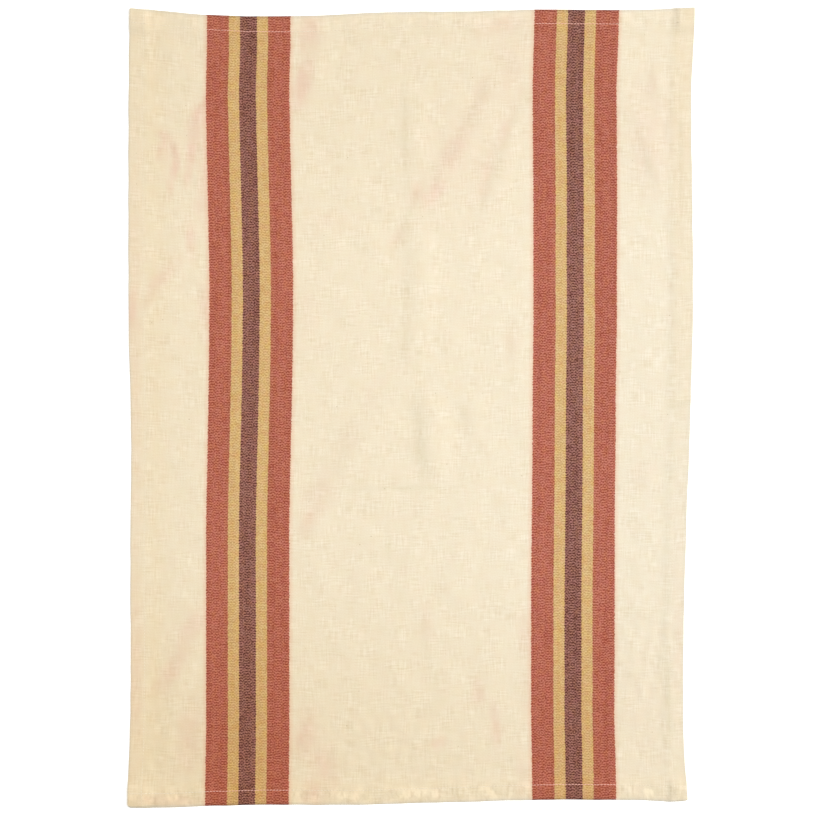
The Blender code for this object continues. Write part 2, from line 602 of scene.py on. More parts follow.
def read_patches(
    patches: tuple, x: Array, y: Array, start: Array | float = 0.0, join: np.ufunc = np.maximum
) -> Array:
    """Read a table of patches, each of them its amount times a squared cosine across
    its heading and along it, which falls to 0 at its length and width.

    Args:
        patches: the table.
        x: places right of the towel's centre.
        y: places up from the centre.
        start: what there is before them.
        join: how they are joined; where patches cross, the largest amount counts.

    Returns:
        The joined amount at each point.
    """
    total = start + np.zeros_like(x)
    for patch in patches:
        turn = np.radians(patch.heading)
        along = (x - patch.x) * np.sin(turn) + (y - patch.y) * np.cos(turn)
        across = (x - patch.x) * np.cos(turn) - (y - patch.y) * np.sin(turn)
        run = np.cos(share(np.abs(along), 0.0, patch.length / 2) * np.pi / 2) ** 2
        side = np.cos(share(np.abs(across), 0.0, patch.width / 2) * np.pi / 2) ** 2
        total = join(total, patch.amount * (run * side))
    return total


# ---- the cloth


@dataclass(frozen=True)
class Section:
    """A cut through the cloth across one pair of hems: for each line of the grid, its
    distance from the first finished edge, its height, which way its face looks, and
    its place in the flat cloth."""

    place: Array
    height: Array
    outward: Array
    upward: Array
    flat: Array


@dataclass(frozen=True)
class TurnedHem:
    """A hem turned under twice. From its raw edge, a line of the grid runs through six
    stretches: the raw strip in the middle, the inner turn, the strip underneath, the
    outer turn at the finished edge, the face over the hem, and the slope down to the
    plain cloth."""

    width: float = 14.0
    raw_strip: float = 9.5
    slope: float = 11.0
    seam: float = 12.8
    turn_gap: float = 0.1
    turned_cells: tuple[int, ...] = (2, 4, 3, 6)
    face_stops: tuple[float, ...] = (0.0, 0.06, 0.2, 0.4, 0.6, 0.78, 0.9)
    slope_cells: int = 4

    PLAIN = 6.0
    LAST = 2.0 * PLAIN + 1.0

    def plain(self, size: float) -> float:
        """Width of the plain cloth between the two hems and their slopes."""
        return size - 2.0 * (self.width + self.slope)

    def layers(self, from_edge: Array, steepness: float = 1.0) -> Array:
        """How many layers high the cloth stands: 3 in the hem, easing to 1 down its slope."""
        return 3.0 - 2.0 * ease(steepness * (from_edge - self.width) / self.slope, 0.0, 1.0)

    def fullness(self, from_edge: Array) -> Array:
        """1 in the hem, easing to 0 down its slope."""
        return (self.layers(from_edge) - 1.0) / 2.0

    def inner_turn(self, layer: Array | float) -> Array | float:
        """Distance of the inner turn's middle from the finished edge."""
        return self.width - self.turn_gap - layer / 2.0

    def grid_lines(self, size: float, cell: float) -> Array:
        """Numbers of the grid's lines over the whole cloth: 0 to 6 through the first
        hem, 6 to 7 over the plain cloth, and 7 to 13 back through the other hem.

        Args:
            size: the finished size between the two edges.
            cell: the plain cloth's cell size.

        Returns:
            The rising numbers, whose whole part names the stretch.
        """
        turned = [
            np.linspace(start, start + 1.0, cells, endpoint=False)
            for start, cells in enumerate(self.turned_cells)
        ]
        face = len(turned) + np.array(self.face_stops)
        slope = np.linspace(self.PLAIN - 1.0, self.PLAIN, self.slope_cells, endpoint=False)
        hem = np.concatenate([*turned, face, slope])
        cells = round(self.plain(size) / cell)
        plain = np.linspace(self.PLAIN, self.PLAIN + 1.0, cells + 1)
        return np.concatenate([hem, plain, self.LAST - hem[::-1]])

    def section(self, lines: Array, size: float, layer: Array | float) -> Section:
        """Fold the cloth's two edges under, twice each: straight stretches one layer
        apart, a half circle of one layer's radius at the finished edge, and one of half
        that at the inner turn.

        Args:
            lines: the grid's line numbers.
            size: the finished size between the two edges.
            layer: thickness of one layer, which may itself be a folded hem.

        Returns:
            The section, in the shape of lines and layer together.
        """
        first = lines < self.PLAIN + 0.5
        number = np.where(first, lines, self.LAST - lines)
        stretch = np.minimum(np.floor(number), self.PLAIN)
        part = number - stretch
        inner = self.inner_turn(layer)
        centre = 1.5 * layer
        half = layer / 2.0
        quarter = np.pi / 2.0
        arc = quarter * layer
        in_angle, out_angle = quarter * (1.0 - 2.0 * part), quarter * (3.0 - 2.0 * part)
        in_cos, in_sin, out_cos, out_sin = (
            wave(angle) for angle in (in_angle, out_angle) for wave in (np.cos, np.sin)
        )
        raw = self.raw_strip * (1.0 - part)
        over = centre + part * (self.width - centre)
        slope = self.width + part * self.slope
        plain = self.width + self.slope + part * self.plain(size)
        in_flat, under_flat = inner + arc * (1.0 - part), inner + part * (arc - inner)
        out_flat, over_flat = arc * (2.0 * part - 1.0), arc + part * (self.width - arc)
        stretches = (
            # place, height, outward, upward, flat
            (inner - raw, 1.5 * layer, 0.0, 1.0, -(inner + arc + raw)),
            (inner + half * in_cos, layer + half * in_sin, in_cos, in_sin, -in_flat),
            (inner + part * (centre - inner), 0.5 * layer, 0.0, -1.0, -under_flat),
            (centre + layer * out_cos, centre + layer * out_sin, out_cos, out_sin, out_flat),
            (over, 2.5 * layer, 0.0, 1.0, over_flat),
            (slope, (2.5 - 2.0 * ease(part, 0.0, 1.0)) * layer, 0.0, 1.0, slope),
            (plain, 0.5 * layer, 0.0, 1.0, plain),
        )
        everywhere = np.zeros(np.broadcast(lines, layer).shape)
        chosen = [stretch + everywhere == number for number in range(len(stretches))]
        place, height, outward, upward, flat = (
            np.select(chosen, [value + everywhere for value in column])
            for column in zip(*stretches)
        )
        return Section(
            place=np.where(first, place, size - place),
            height=height,
            outward=np.where(first, outward, -outward),
            upward=upward,
            flat=np.where(first, flat, size - flat),
        )

    def face_number(self, distance: Array, size: float, layer: float) -> Array:
        """The grid's line number of a point on the face. It is the section's own rule,
        read backwards.

        Args:
            distance: distances from the first finished edge.
            size: the finished size between the two edges.
            layer: thickness of one layer.

        Returns:
            The line numbers.
        """
        first = distance < size / 2.0
        inside = np.where(first, distance, size - distance)
        centre = 1.5 * layer
        hem = self.PLAIN - 2.0 + (inside - centre) / (self.width - centre)
        slope = self.PLAIN - 1.0 + (inside - self.width) / self.slope
        plain = self.PLAIN + (inside - self.width - self.slope) / self.plain(size)
        number = np.where(inside < self.width, hem, np.where(slope < self.PLAIN, slope, plain))
        return np.where(first, number, self.LAST - number)

    def under_number(self, layer: float) -> float:
        """The line number of the first hem's seam on the strip underneath."""
        inner = self.inner_turn(layer)
        return 2.0 + (inner - self.seam) / (inner - 1.5 * layer)


@dataclass(frozen=True)
class ClothPoints:
    """Points of the cloth, in millimetres: across and along from the left edge and the
    top end, as woven; x, y and z from the towel's middle, as it lies; and the place on
    the flat cloth. The width and length are the towel's."""

    across: Array
    along: Array
    x: Array
    y: Array
    z: Array
    flat_across: Array
    flat_along: Array
    width: float
    length: float

    def from_edges(self) -> tuple[Array, Array, Array, Array]:
        """Distances from the left edge, the right edge, the top and the bottom."""
        return self.across, self.width - self.across, self.along, self.length - self.along


@dataclass(frozen=True)
class Relief:
    """Heights of the cloth over the surface that it lies on. The puckers' shares are for
    the left, right, top and bottom hem."""

    lift: float = 0.14
    swell: float = 0.35
    swell_reach: float = 45.0
    wave_height: float = 0.12
    wavelength: float = 36.0
    ripple_height: float = 0.035
    crumple_height: float = 0.11
    ripple_length: float = 13.0
    pucker_height: float = 0.2
    pucker_spacing: float = 11.0
    pucker_reach: float = 9.0
    pucker_lift: float = 0.6
    pucker_shares: tuple[float, ...] = (0.8, 1.0, 0.9, 1.3)
    first_pucker_seed: int = 11
    tuck_depth: float = 0.6
    corner_calm: float = 26.0
    groove_depth: float = 0.08
    groove_width: float = 1.1

    def puckers(self, at: ClothPoints) -> Array:
        """The hems' puckers: an uneven line along each seam with narrow tucks where it
        crosses zero, under a bell curve across the seam, and calm at the corners.

        Args:
            at: the cloth's points.

        Returns:
            The puckers' height at each point.
        """
        height = np.zeros_like(at.x)
        runs = (at.along, at.along, at.across, at.across)
        for number, (from_edge, run) in enumerate(zip(at.from_edges(), runs)):
            seed = self.first_pucker_seed + number
            line = uneven_line(np.maximum(run, 0.0), self.pucker_spacing, seed)
            line = line - self.tuck_depth * (1.0 - np.abs(line)) ** 6
            strength = self.pucker_height * self.pucker_shares[number]
            near = bell(from_edge - TurnedHem.seam, self.pucker_reach)
            corner = ease(np.minimum(run, run.max() - run), 0.0, self.corner_calm)
            height = height + strength * near * corner * (self.pucker_lift + line)
        return height

    def grooves(self, at: ClothPoints) -> Array:
        """The seams' grooves: a bell curve across the nearest row of stitches."""
        nearest = [np.abs(from_edge - TurnedHem.seam) for from_edge in at.from_edges()]
        return self.groove_depth * bell(np.minimum.reduce(nearest), self.groove_width)

    def height(self, at: ClothPoints) -> Array:
        """Add up the cloth's heights, which never fall below the surface: a little air
        everywhere, a swell that grows away from the edges, the highest of the main
        folds, the fine creases, waves, ripples, puckers and grooves.

        Args:
            at: the cloth's points.

        Returns:
            The height to add at each point.
        """
        inside = ease(np.minimum.reduce(at.from_edges()), 0.0, self.swell_reach)
        creases = read_patches(MAIN_FOLDS, at.x, at.y)
        creases = read_patches(FINE_CREASES, at.x, at.y, creases, np.add)
        height = self.lift + self.swell * inside + creases
        height = height + inside * self.wave_height * waves(at.x, at.y, self.wavelength, seed=3)
        ripple = self.ripple_height + self.crumple_height * read_patches(CRUMPLES, at.x, at.y)
        height = height + ripple * waves(at.x, at.y, self.ripple_length, seed=4)
        height = height + self.puckers(at) - self.grooves(at)
        return np.maximum(height, self.lift - self.groove_depth)


@dataclass(frozen=True)
class WearAndShade:
    """The dye that use and washing have run into the cloth, and the light and shade painted
    onto it: along the creases, the edges and the hems, at both ends, towards the lower left
    and on the hems' puckers. Each reach gives, in millimetres from the towel's middle, where
    something starts and where it is full. The painted edge shadow's shares are for the left,
    right, top and bottom edge."""

    low_reach: tuple[float, float] = (-100.0, -350.0)
    high_reach: tuple[float, float] = (120.0, 330.0)
    upper_reach: tuple[float, float] = (-80.0, 80.0)
    left_reach: tuple[float, float] = (220.0, -260.0)
    right_reach: tuple[float, float] = (150.0, 200.0)
    corner_reach: tuple[float, float] = (-170.0, -240.0)
    edge_shadow_width: float = 2.6
    edge_shadow_shares: tuple[float, ...] = (0.35, 0.4, 0.75, 0.9)
    left_strip: float = 30.0
    gather_middle: float = 0.6
    gather_top: float = 0.35

    def attributes(self, at: ClothPoints, hem: TurnedHem) -> dict[str, Array]:
        """Work out what the finish reads from the cloth's points.

        Args:
            at: the cloth's points.
            hem: the towel's hem.

        Returns:
            By name, a value at each point. The dye's bleed and the painted crease shade are
            the strongest of the table's patches there. The painted shade is strong at both ends,
            at the right and on the hems; the warmer tone, with painted shade, grows to the lower
            left and over the hems; the low end's painted shade grows to the bottom. The painted
            edge shadow is strong at the edge, most in the bottom left corner, and gathering
            along the end hems' seams.
        """
        left, right, top, bottom = (hem.fullness(distance) for distance in at.from_edges())
        low, high = ease(at.y, *self.low_reach), ease(at.y, *self.high_reach)
        upper = ease(at.y, *self.upper_reach)
        leftward = share(at.x, *self.left_reach)
        corner = ease(at.x, *self.corner_reach)
        strip = ease(at.across, hem.width + self.left_strip, hem.width)
        # Each is a zone times its strength. The shades are painted shade: at both ends, on the
        # hems and their slopes, and at the right.
        shades = (
            high,
            (0.8 + 0.5 * leftward - 0.8 * left) * low,
            (0.3 + 0.7 * upper) * right,
            top,
            0.6 * ease(at.x, *self.right_reach),
            3.2 * left * (1.0 - left),
        )
        # A warmer tone and painted shade, towards the lower left and over the hems.
        tones = (
            0.5 * leftward,
            (0.3 + 0.2 * leftward) * low,
            (0.2 - 0.1 * leftward) * high,
            (0.15 + 0.25 * corner) * bottom,
            0.1 * left,
            0.3 * strip * (1.0 - left),
            0.25 * right * upper,
        )
        # Painted shadow along the edges, deepest at the bottom and in the bottom left corner.
        rim = np.zeros_like(at.x)
        *firm, bottom_edge = self.edge_shadow_shares
        for distance, worn in zip(at.from_edges(), (*firm, bottom_edge + corner)):
            rim = np.maximum(rim, worn * ease(distance, self.edge_shadow_width, 0.0))
        reach = self.gather_middle * hem.seam
        from_top, from_bottom = at.from_edges()[2:]
        gathering = np.maximum(
            self.gather_top * bell(from_top - reach, reach), bell(from_bottom - reach, reach)
        )
        return {
            "dye_bleed": read_patches(DYE_STAINS, at.x, at.y),
            "fold_mark": read_patches(CREASE_SHADE_MARKS, at.x, at.y),
            "soft_shade": sum(shades),
            "toning": sum(tones),
            "low_end": low,
            "rim": rim,
            "gathering": gathering,
        }


@dataclass
class TowelCloth:
    """The towel's one piece of cloth, hems and all. The bands' places are as woven. The
    side hems' slope is steeper where the end hems are folded over it. The cut size, in
    metres, is the cloth's before it was hemmed; it is not used."""

    width: float
    length: float
    thickness: float = 0.3
    layer_pitch: float = 0.33
    cell: float = 3.35
    left_band: float = 107.6
    right_band: float = 396.1
    firm_half: float = 27.0
    edge_wander: float = 0.22
    wander_spacing: float = 13.0
    wander_seeds: tuple[int, ...] = (21, 22, 23, 24)
    corner_radii: tuple[float, ...] = (1.0, 1.0, 4.0, 2.0)
    corner_steepness: float = 2.4
    cut_width: float = 0.549
    cut_length: float = 0.756
    hem: TurnedHem = field(default_factory=TurnedHem)
    relief: Relief = field(default_factory=Relief)
    wear_and_shade: WearAndShade = field(default_factory=WearAndShade)

    def outline(self, across: Array, along: Array) -> tuple[Array, Array]:
        """Lay a woven point in its place. Its row is stretched between lines that the
        table places on each row of the length: the two side edges and the two bands,
        whose middles are firm. Its column is stretched between the two ends. The edges
        wander a little on the way.

        Args:
            across: distances from the left edge, as woven.
            along: distances from the top end, as woven.

        Returns:
            The points' x and y from the outline's middle, in millimetres.
        """
        left, right, left_shift, right_shift, outer = (
            read_column(LENGTH_STATIONS, name, along)
            for name in ("left_edge", "right_edge", "left_band", "right_band", "outer_red")
        )
        top, bottom = (read_column(END_EDGES, name, across) for name in ("top", "bottom"))
        run = np.clip(along, 0.0, self.length)
        reach = np.clip(across, 0.0, self.width)
        left, right, top, bottom = (
            edge + self.edge_wander * uneven_line(at, self.wander_spacing, seed)
            for edge, at, seed in zip(
                (left, right, top, bottom), (run, run, reach, reach), self.wander_seeds
            )
        )
        firm_left, firm_right = self.left_band + self.firm_half, self.right_band + self.firm_half
        shift = (
            left
            + (left_shift - left) * share(across, 0.0, self.left_band - self.firm_half)
            + (right_shift - left_shift)
            * share(across, firm_left, self.right_band - self.firm_half)
            - (right_shift + right) * share(across, firm_right, self.width)
        )
        red = self.right_band + RED_EDGE
        spread = ease(across, red - RED_WIDTH, red) * share(across, self.width, red)
        x = across + (shift + outer * spread) - self.width / 2.0
        y = self.length / 2.0 - top - (self.length - top - bottom) * along / self.length
        return self.round_corners(across, along, x, y)

    def round_corners(
        self, across: Array, along: Array, x: Array, y: Array
    ) -> tuple[Array, Array]:
        """Draw each corner's square in to a quarter circle: a point's two distances from
        the square's inner corner are both shortened by their larger one over their
        root of squares, so that the square's border becomes the circle.

        Args:
            across: distances from the left edge, as woven.
            along: distances from the top end, as woven.
            x: places right of the towel's centre.
            y: places up from the centre.

        Returns:
            The new x and y.
        """
        sides = ((False, False), (True, False), (False, True), (True, True))
        for (right, low), radius in zip(sides, self.corner_radii):
            out = 1.0 - (self.width - across if right else across) / radius
            end = 1.0 - (self.length - along if low else along) / radius
            in_corner = (out > 0.0) & (end > 0.0)
            larger = np.maximum(out, end)
            pull = np.where(in_corner, 1.0 - larger / np.maximum(np.hypot(out, end), TINY), 0.0)
            x = x + (-1.0 if right else 1.0) * radius * out * pull
            y = y + (1.0 if low else -1.0) * radius * end * pull
        return x, y

    def place(self, column_lines: Array, row_lines: Array) -> ClothPoints:
        """Fold the side hems, fold the end hems over them, lay the towel in its outline
        and raise it by its relief.

        Args:
            column_lines: line numbers across, in the shape (columns, 1) or any other.
            row_lines: line numbers along, in a shape that fits it.

        Returns:
            The points of the crossings.
        """
        sides = self.hem.section(column_lines, self.width, self.layer_pitch)
        from_side = np.minimum(sides.place, self.width - sides.place)
        stack = self.layer_pitch * self.hem.layers(from_side, self.corner_steepness)
        ends = self.hem.section(row_lines, self.length, stack)
        off_middle = sides.height - stack / 2.0
        everywhere = np.zeros_like(ends.place)
        across = sides.place + everywhere
        along = ends.place + ends.outward * off_middle
        points = ClothPoints(
            across,
            along,
            *self.outline(across, along),
            ends.height + ends.upward * off_middle,
            sides.flat + everywhere,
            ends.flat,
            self.width,
            self.length,
        )
        return replace(points, z=points.z + self.relief.height(points))

    def build(self) -> Object:
        """Make the cloth's mesh, one square for each cell of the grid, with its face up,
        the UV map "cloth" in metres of flat cloth and its attributes; and thicken it.

        Returns:
            The finished object, at the origin.
        """
        columns = self.hem.grid_lines(self.width, self.cell)
        rows = self.hem.grid_lines(self.length, self.cell)
        at = self.place(columns[:, None], rows[None, :])
        number = np.arange(at.x.size).reshape(at.x.shape)
        cells = np.stack(
            [number[:-1, :-1], number[:-1, 1:], number[1:, 1:], number[1:, :-1]], axis=-1
        ).reshape(-1, 4)
        places = np.stack([at.x, at.y, at.z], axis=-1).reshape(-1, 3) * MM
        towel = add_mesh("towel_cloth_sheet", places, cells)
        flat_x, flat_y = at.flat_across - self.width / 2.0, self.length / 2.0 - at.flat_along
        flat = np.stack([flat_x, flat_y], axis=-1).reshape(-1, 2) * MM
        uv_map = towel.data.uv_layers.new(name="cloth")
        uv_map.uv.foreach_set("vector", flat[cells.ravel()].ravel())
        for name, values in self.wear_and_shade.attributes(at, self.hem).items():
            layer = towel.data.attributes.new(name, "FLOAT", "POINT")
            layer.data.foreach_set("value", values.ravel())
        thicken = towel.modifiers.new("cloth_thickness", "SOLIDIFY")
        thicken.thickness = self.thickness * MM
        thicken.offset = 0.0
        return towel


# ---- the stitching


@dataclass
class HemStitching:
    """The machine stitches of one pair of hems, as they show on one face of the cloth."""

    cloth: TowelCloth
    run: HemRun
    face: ClothFace
    pitch: float = 2.8
    stitch: float = 2.5
    thread_radius: float = 0.26
    thinnest: float = 0.75
    arch: float = 0.08
    dive: float = 0.22
    side_sink: float = 0.2
    from_end: float = 1.6
    ring_sides: int = 6
    stations: int = 5

    def seam_lines(self) -> tuple[Array, Array]:
        """Where the thread runs: for each stitch the stations along it, on both hems.

        Returns:
            The grid's line numbers across and along, in the shape (stitches, stations).
        """
        cloth, hem, layer = self.cloth, self.cloth.hem, self.cloth.layer_pitch
        on_sides, on_face = self.run is HemRun.SIDES, self.face is ClothFace.FACE
        size, run_size = cloth.width, cloth.length
        if not on_sides:
            size, run_size = run_size, size
        margin = self.from_end if on_face else hem.width + hem.slope
        count = int((run_size - 2.0 * margin) / self.pitch)
        starts = margin + self.pitch * np.arange(count)
        distance = starts[:, None] + np.linspace(0.0, self.stitch, self.stations)
        seams = [np.full(distance.shape, hem.seam)] * 2
        if not on_sides:
            seams = [read_column(END_SEAMS, name, distance) for name in ("top", "bottom")]
        first = hem.face_number(seams[0], size, layer)
        second = hem.face_number(size - seams[1], size, layer)
        if not on_face:
            first = np.full(distance.shape, hem.under_number(layer))
            second = hem.LAST - first
        lines = np.concatenate([first, second])
        run_lines = np.tile(hem.face_number(distance, run_size, layer), (2, 1))
        return (lines, run_lines) if on_sides else (run_lines, lines)

    def build(self) -> Object:
        """Carry a round profile along each stitch's path: it dives into the cloth at both
        ends and rises in a low arch, a half sine, between them.

        Returns:
            One object with all the stitches, each a tube closed at both ends.
        """
        at = self.cloth.place(*self.seam_lines())
        run = np.linspace(0.0, 1.0, self.stations)
        arch = self.arch * np.sin(np.pi * run) - self.dive * np.abs(2.0 * run - 1.0) ** 3
        sunk = self.side_sink if self.run is HemRun.SIDES else 0.0
        rise = self.cloth.thickness / 2.0 - sunk + arch
        outward = 1.0 if self.face is ClothFace.FACE else -1.0
        path = np.stack([at.x, at.y, at.z + outward * rise], axis=-1)
        ahead = np.gradient(path, axis=1)
        ahead /= np.linalg.norm(ahead, axis=-1, keepdims=True)
        aside = np.cross(ahead, np.array([0.0, 0.0, 1.0]))
        aside /= np.linalg.norm(aside, axis=-1, keepdims=True)
        over = np.cross(aside, ahead)
        turn = np.linspace(0.0, TURN, self.ring_sides, endpoint=False)[:, None]
        ring = np.cos(turn) * aside[:, :, None, :] + np.sin(turn) * over[:, :, None, :]
        swell = self.thinnest + (1.0 - self.thinnest) * np.sin(np.pi * run)
        radius = self.thread_radius * swell
        places = path[:, :, None, :] + radius[:, None, None] * ring
        number = np.arange(places[..., 0].size).reshape(places.shape[:3])
        following = np.roll(number, -1, axis=2)
        walls = np.stack(
            [following[:, :-1], following[:, 1:], number[:, 1:], number[:, :-1]], axis=-1
        ).reshape(-1, 4)
        caps = number[:, 0].tolist() + number[:, -1, ::-1].tolist()
        name = f"{self.run.value}_hem_stitches_{self.face.value}"
        return add_mesh(name, places.reshape(-1, 3) * MM, walls.tolist() + caps)


# ---- the finishes

COLOUR_A, COLOUR_B, COLOUR_OUT = 6, 7, 2


@dataclass
class StripedCotton:
    """Yarn-dyed plain-weave cotton, unbleached weft and striped warp: matt, with the
    cream weft sparkling through the dyed stripes and slubs in the plain cloth. It reads
    the UV map "cloth" and the cloth's attributes. The ribs, in millimetres, are drawn
    four to five threads wide to show."""

    bands: tuple[float, float]
    name: str = "yarn_dyed_plain_weave_cotton"
    rib: float = 2.33
    rib_tilt: float = 13.7
    rib_drift: float = 9.0
    rib_share: float = 0.2
    check: float = 2.95
    check_share: float = 0.35
    weft_share: float = 0.8
    warp_share: float = 0.4
    grain_share: float = 2.2
    column_share: float = 0.25
    edge_wander: float = 1.4
    tooth: float = 0.18
    edge_half: float = 0.3
    slub: float = 0.11
    speck: float = 0.5
    roughness: float = 0.92
    weave_strength: float = 0.25
    weave_depth: float = 0.00012
    tuck_depth: float = 0.0006

    def __post_init__(self) -> None:
        """Start the material, and lay out what its patterns share: places on the flat
        cloth in millimetres, the noises, and the cloth's attributes."""
        self.made, self.shader, node = new_material(
            self.name, Roughness=self.roughness, Specular_IOR_Level=0.25
        )
        self.node = node
        flat = node("UVMap", uv_map="cloth")
        self.cloth = node("VectorMath", flat, sockets={"Scale": 1.0 / MM}, operation="SCALE")
        self.across, self.along = node("SeparateXYZ", self.cloth).outputs[:2]
        self.grains = {}
        for name, grain in GRAINS.items():
            depth, size = (0.0, 0.0, grain.depth), (1.0 / grain.across, 1.0 / grain.along, 1.0)
            place = node("Mapping", self.cloth, sockets={"Location": depth, "Scale": size})
            self.grains[name] = node(
                "TexNoise", place, sockets={"Scale": 1.0, "Detail": grain.detail}
            )
        self.worn = {
            name: node("Attribute", attribute_name=name).outputs["Fac"]
            for name in (
                "dye_bleed", "fold_mark", "soft_shade", "toning", "low_end", "rim", "gathering",
            )
        }

    def material(self) -> Material:
        """Finish the material: the stripes, each tint laid over them in its turn, and the
        weave and the hems' tucks as bumps.

        Returns:
            The material.
        """
        node = self.node
        weave = self.weave()
        colour, plain, dyed = self.stripes(weave)
        tints = [(*tint, "MIX") for tint in self.slubs(plain)]
        tints += [(*tint, "MULTIPLY") for tint in self.stains_and_shade(plain, dyed)]
        for amount, tint, blend in tints:
            pair = {COLOUR_A: colour, COLOUR_B: tint}
            mixed = node("Mix", amount, sockets=pair, data_type="RGBA", blend_type=blend)
            colour = mixed.outputs[COLOUR_OUT]
        gathered = node("MULTIPLY", self.grains["hem tucks"], self.worn["gathering"])
        normal = None
        for strength, depth, height in (
            (1.0, self.tuck_depth, gathered),
            (self.weave_strength, self.weave_depth, weave),
        ):
            bump = {"Strength": strength, "Distance": depth, "Height": height}
            normal = node("Bump", sockets={**bump, "Normal": normal} if normal else bump)
        self.made.node_tree.links.new(colour, self.shader.inputs["Base Color"])
        self.made.node_tree.links.new(normal.outputs[0], self.shader.inputs["Normal"])
        return self.made

    def weave(self) -> Node:
        """The weave's light and shade: ribs of the weft, tilted both ways so that they
        swell and fade, a check of the crossings, and uneven yarns.

        Returns:
            A value about 0 where the warp lies on top and 1 where the weft does.
        """
        node = self.node
        drift = node("MULTIPLY", self.grains["rib drift"], self.rib_drift)
        rise = node("MULTIPLY_ADD", self.along, TURN / self.rib, drift)
        tilt = node("MULTIPLY", self.across, TURN / self.rib_tilt)
        rising, falling = node("ADD", rise, tilt), node("SUBTRACT", rise, tilt)
        ribs = node("ADD", node("SINE", rising), node("SINE", falling))
        column, row = (
            node("SINE", node("MULTIPLY_ADD", place, TURN / self.check, drift))
            for place in (self.across, self.along)
        )
        total = node("MULTIPLY_ADD", ribs, self.rib_share, 0.5)
        total = node("MULTIPLY_ADD", node("MULTIPLY", column, row), self.check_share, total)
        for yarn, yarn_share in (
            ("weft yarn", self.weft_share),
            ("warp yarn", self.warp_share),
            ("fine grain", self.grain_share),
        ):
            swing = node("SUBTRACT", self.grains[yarn], 0.5)
            total = node("MULTIPLY_ADD", swing, yarn_share, total)
        return node("Clamp", total)

    def stripes(self, weave: Node) -> tuple[NodeSocket, Node, Node]:
        """The two bands: the distance from the nearer band's middle, with the toothed
        edge of threads that cross in turn, picks the stripe's shade and light colours,
        and the weave mixes them.

        Args:
            weave: the weave's light and shade.

        Returns:
            The colour, a value that is 1 on the plain cream cloth, and one that is 1 on
            a band.
        """
        node = self.node
        sides = [node("ABSOLUTE", node("SUBTRACT", self.across, band)) for band in self.bands]
        distance = node("MINIMUM", *sides)
        wander = node("SUBTRACT", self.grains["stripe edge"], 0.5)
        distance = node("MULTIPLY_ADD", wander, self.edge_wander, distance)
        teeth = node("SINE", node("MULTIPLY", self.along, TURN / self.rib))
        distance = node("MULTIPLY_ADD", teeth, self.tooth, distance)
        position = node("DIVIDE", distance, BAND_REACH)
        ramps = []
        for tone in ("shade", "light"):
            stops = [(0.0, getattr(BAND_STRIPES[0], tone))]
            for before, stripe in zip(BAND_STRIPES, BAND_STRIPES[1:]):
                for colour_of, way in ((before, -0.5), (stripe, 0.5)):
                    place = (stripe.start + way * stripe.takeover) / BAND_REACH
                    stops.append((place, getattr(colour_of, tone)))
            ramps.append(node("ValToRGB", position, stops=tuple(stops)))
        plain = node("MapRange", distance, RED_EDGE - self.edge_half, RED_EDGE + self.edge_half)
        dyed = node("SUBTRACT", 1.0, plain)
        columns = node("SUBTRACT", self.grains["warp columns"], 0.5)
        columns = node("MULTIPLY", columns, dyed)
        light = node("MULTIPLY_ADD", columns, self.column_share, weave)
        pair = {COLOUR_A: ramps[0], COLOUR_B: ramps[1]}
        mixed = node("Mix", light, sockets=pair, data_type="RGBA")
        return mixed.outputs[COLOUR_OUT], plain, dyed

    def slubs(self, plain: Node) -> list[tuple[Node, str]]:
        """Slubs, the thick and thin places of the yarn: short dashes along the warp and along
        the weft, some lighter and some darker, gathered in patches; then dark specks, a few
        long flecks of seed husk, and, where the end hems gather the cloth, painted highlights
        on the puckers and painted shade between them.

        Args:
            plain: 1 on the plain cream cloth.

        Returns:
            Each tint's share, and its colour.
        """
        node, tints = self.node, []
        # Between their patches, slubs are a fifth as strong.
        patches = node("MapRange", self.grains["slub patches"], 0.4, 0.6, 0.2, 1.0)
        for yarn in ("warp slubs", "weft slubs"):
            for start, full, tint in ((0.52, 0.68, "#B9A584"), (0.48, 0.32, "#FFF9EC")):
                amount = node("MapRange", self.grains[yarn], start, full, 0.0, self.slub)
                amount = node("MULTIPLY", node("MULTIPLY", amount, plain), patches)
                tints.append((amount, tint))
        # Spacing across and along in millimetres, a fleck's share of it, its colour.
        for across, along, size, tint in (
            (11.0, 11.0, 0.06, "#8C7B57"),
            (42.0, 156.0, 0.012, "#6E6048"),
        ):
            scale = (1.0 / across, 1.0 / along, 1.0)
            place = node("Mapping", self.cloth, sockets={"Scale": scale})
            cells = node("TexVoronoi", place, sockets={"Scale": 1.0})
            dot = node("MapRange", cells, size, size / 2.0, 0.0, self.speck)
            lot = node("SeparateColor", cells.outputs["Color"])
            tints.append((node("MULTIPLY", dot, node("MapRange", lot, 0.4, 1.0)), tint))
        # Painted light and shade where the end hems gather the cloth: highlights on the puckers,
        # shade in the tucks.
        # The noise, where it starts and is full, the most that it adds, its colour.
        for grain, start, full, most, tint in (
            ("hem pucker highlights", 0.5, 0.62, 0.45, "#FBEFD8"),
            ("hem shadows", 0.54, 0.68, 0.22, "#A8977A"),
        ):
            amount = node("MapRange", self.grains[grain], start, full, 0.0, most)
            amount = node("MULTIPLY", amount, self.worn["gathering"])
            tints.append((node("MULTIPLY", amount, plain), tint))
        return tints

    def stains_and_shade(self, plain: Node, dyed: Node) -> list[tuple[Node | NodeSocket, str]]:
        """Stains and painted shade: pink where the red dye has run, painted grey-green shade
        along the creases and hem seams, a faint painted shade at the ends, at the right and on
        the hems, a warmer tone with painted shade towards the lower left, a painted shadow at
        the edge, the bands darker there and at the low end as painted shade, and faint clouds
        everywhere.

        Args:
            plain: 1 on the plain cream cloth.
            dyed: 1 on a band.

        Returns:
            Each tint's share, and the colour to multiply by.
        """
        node, worn, grains = self.node, self.worn, self.grains
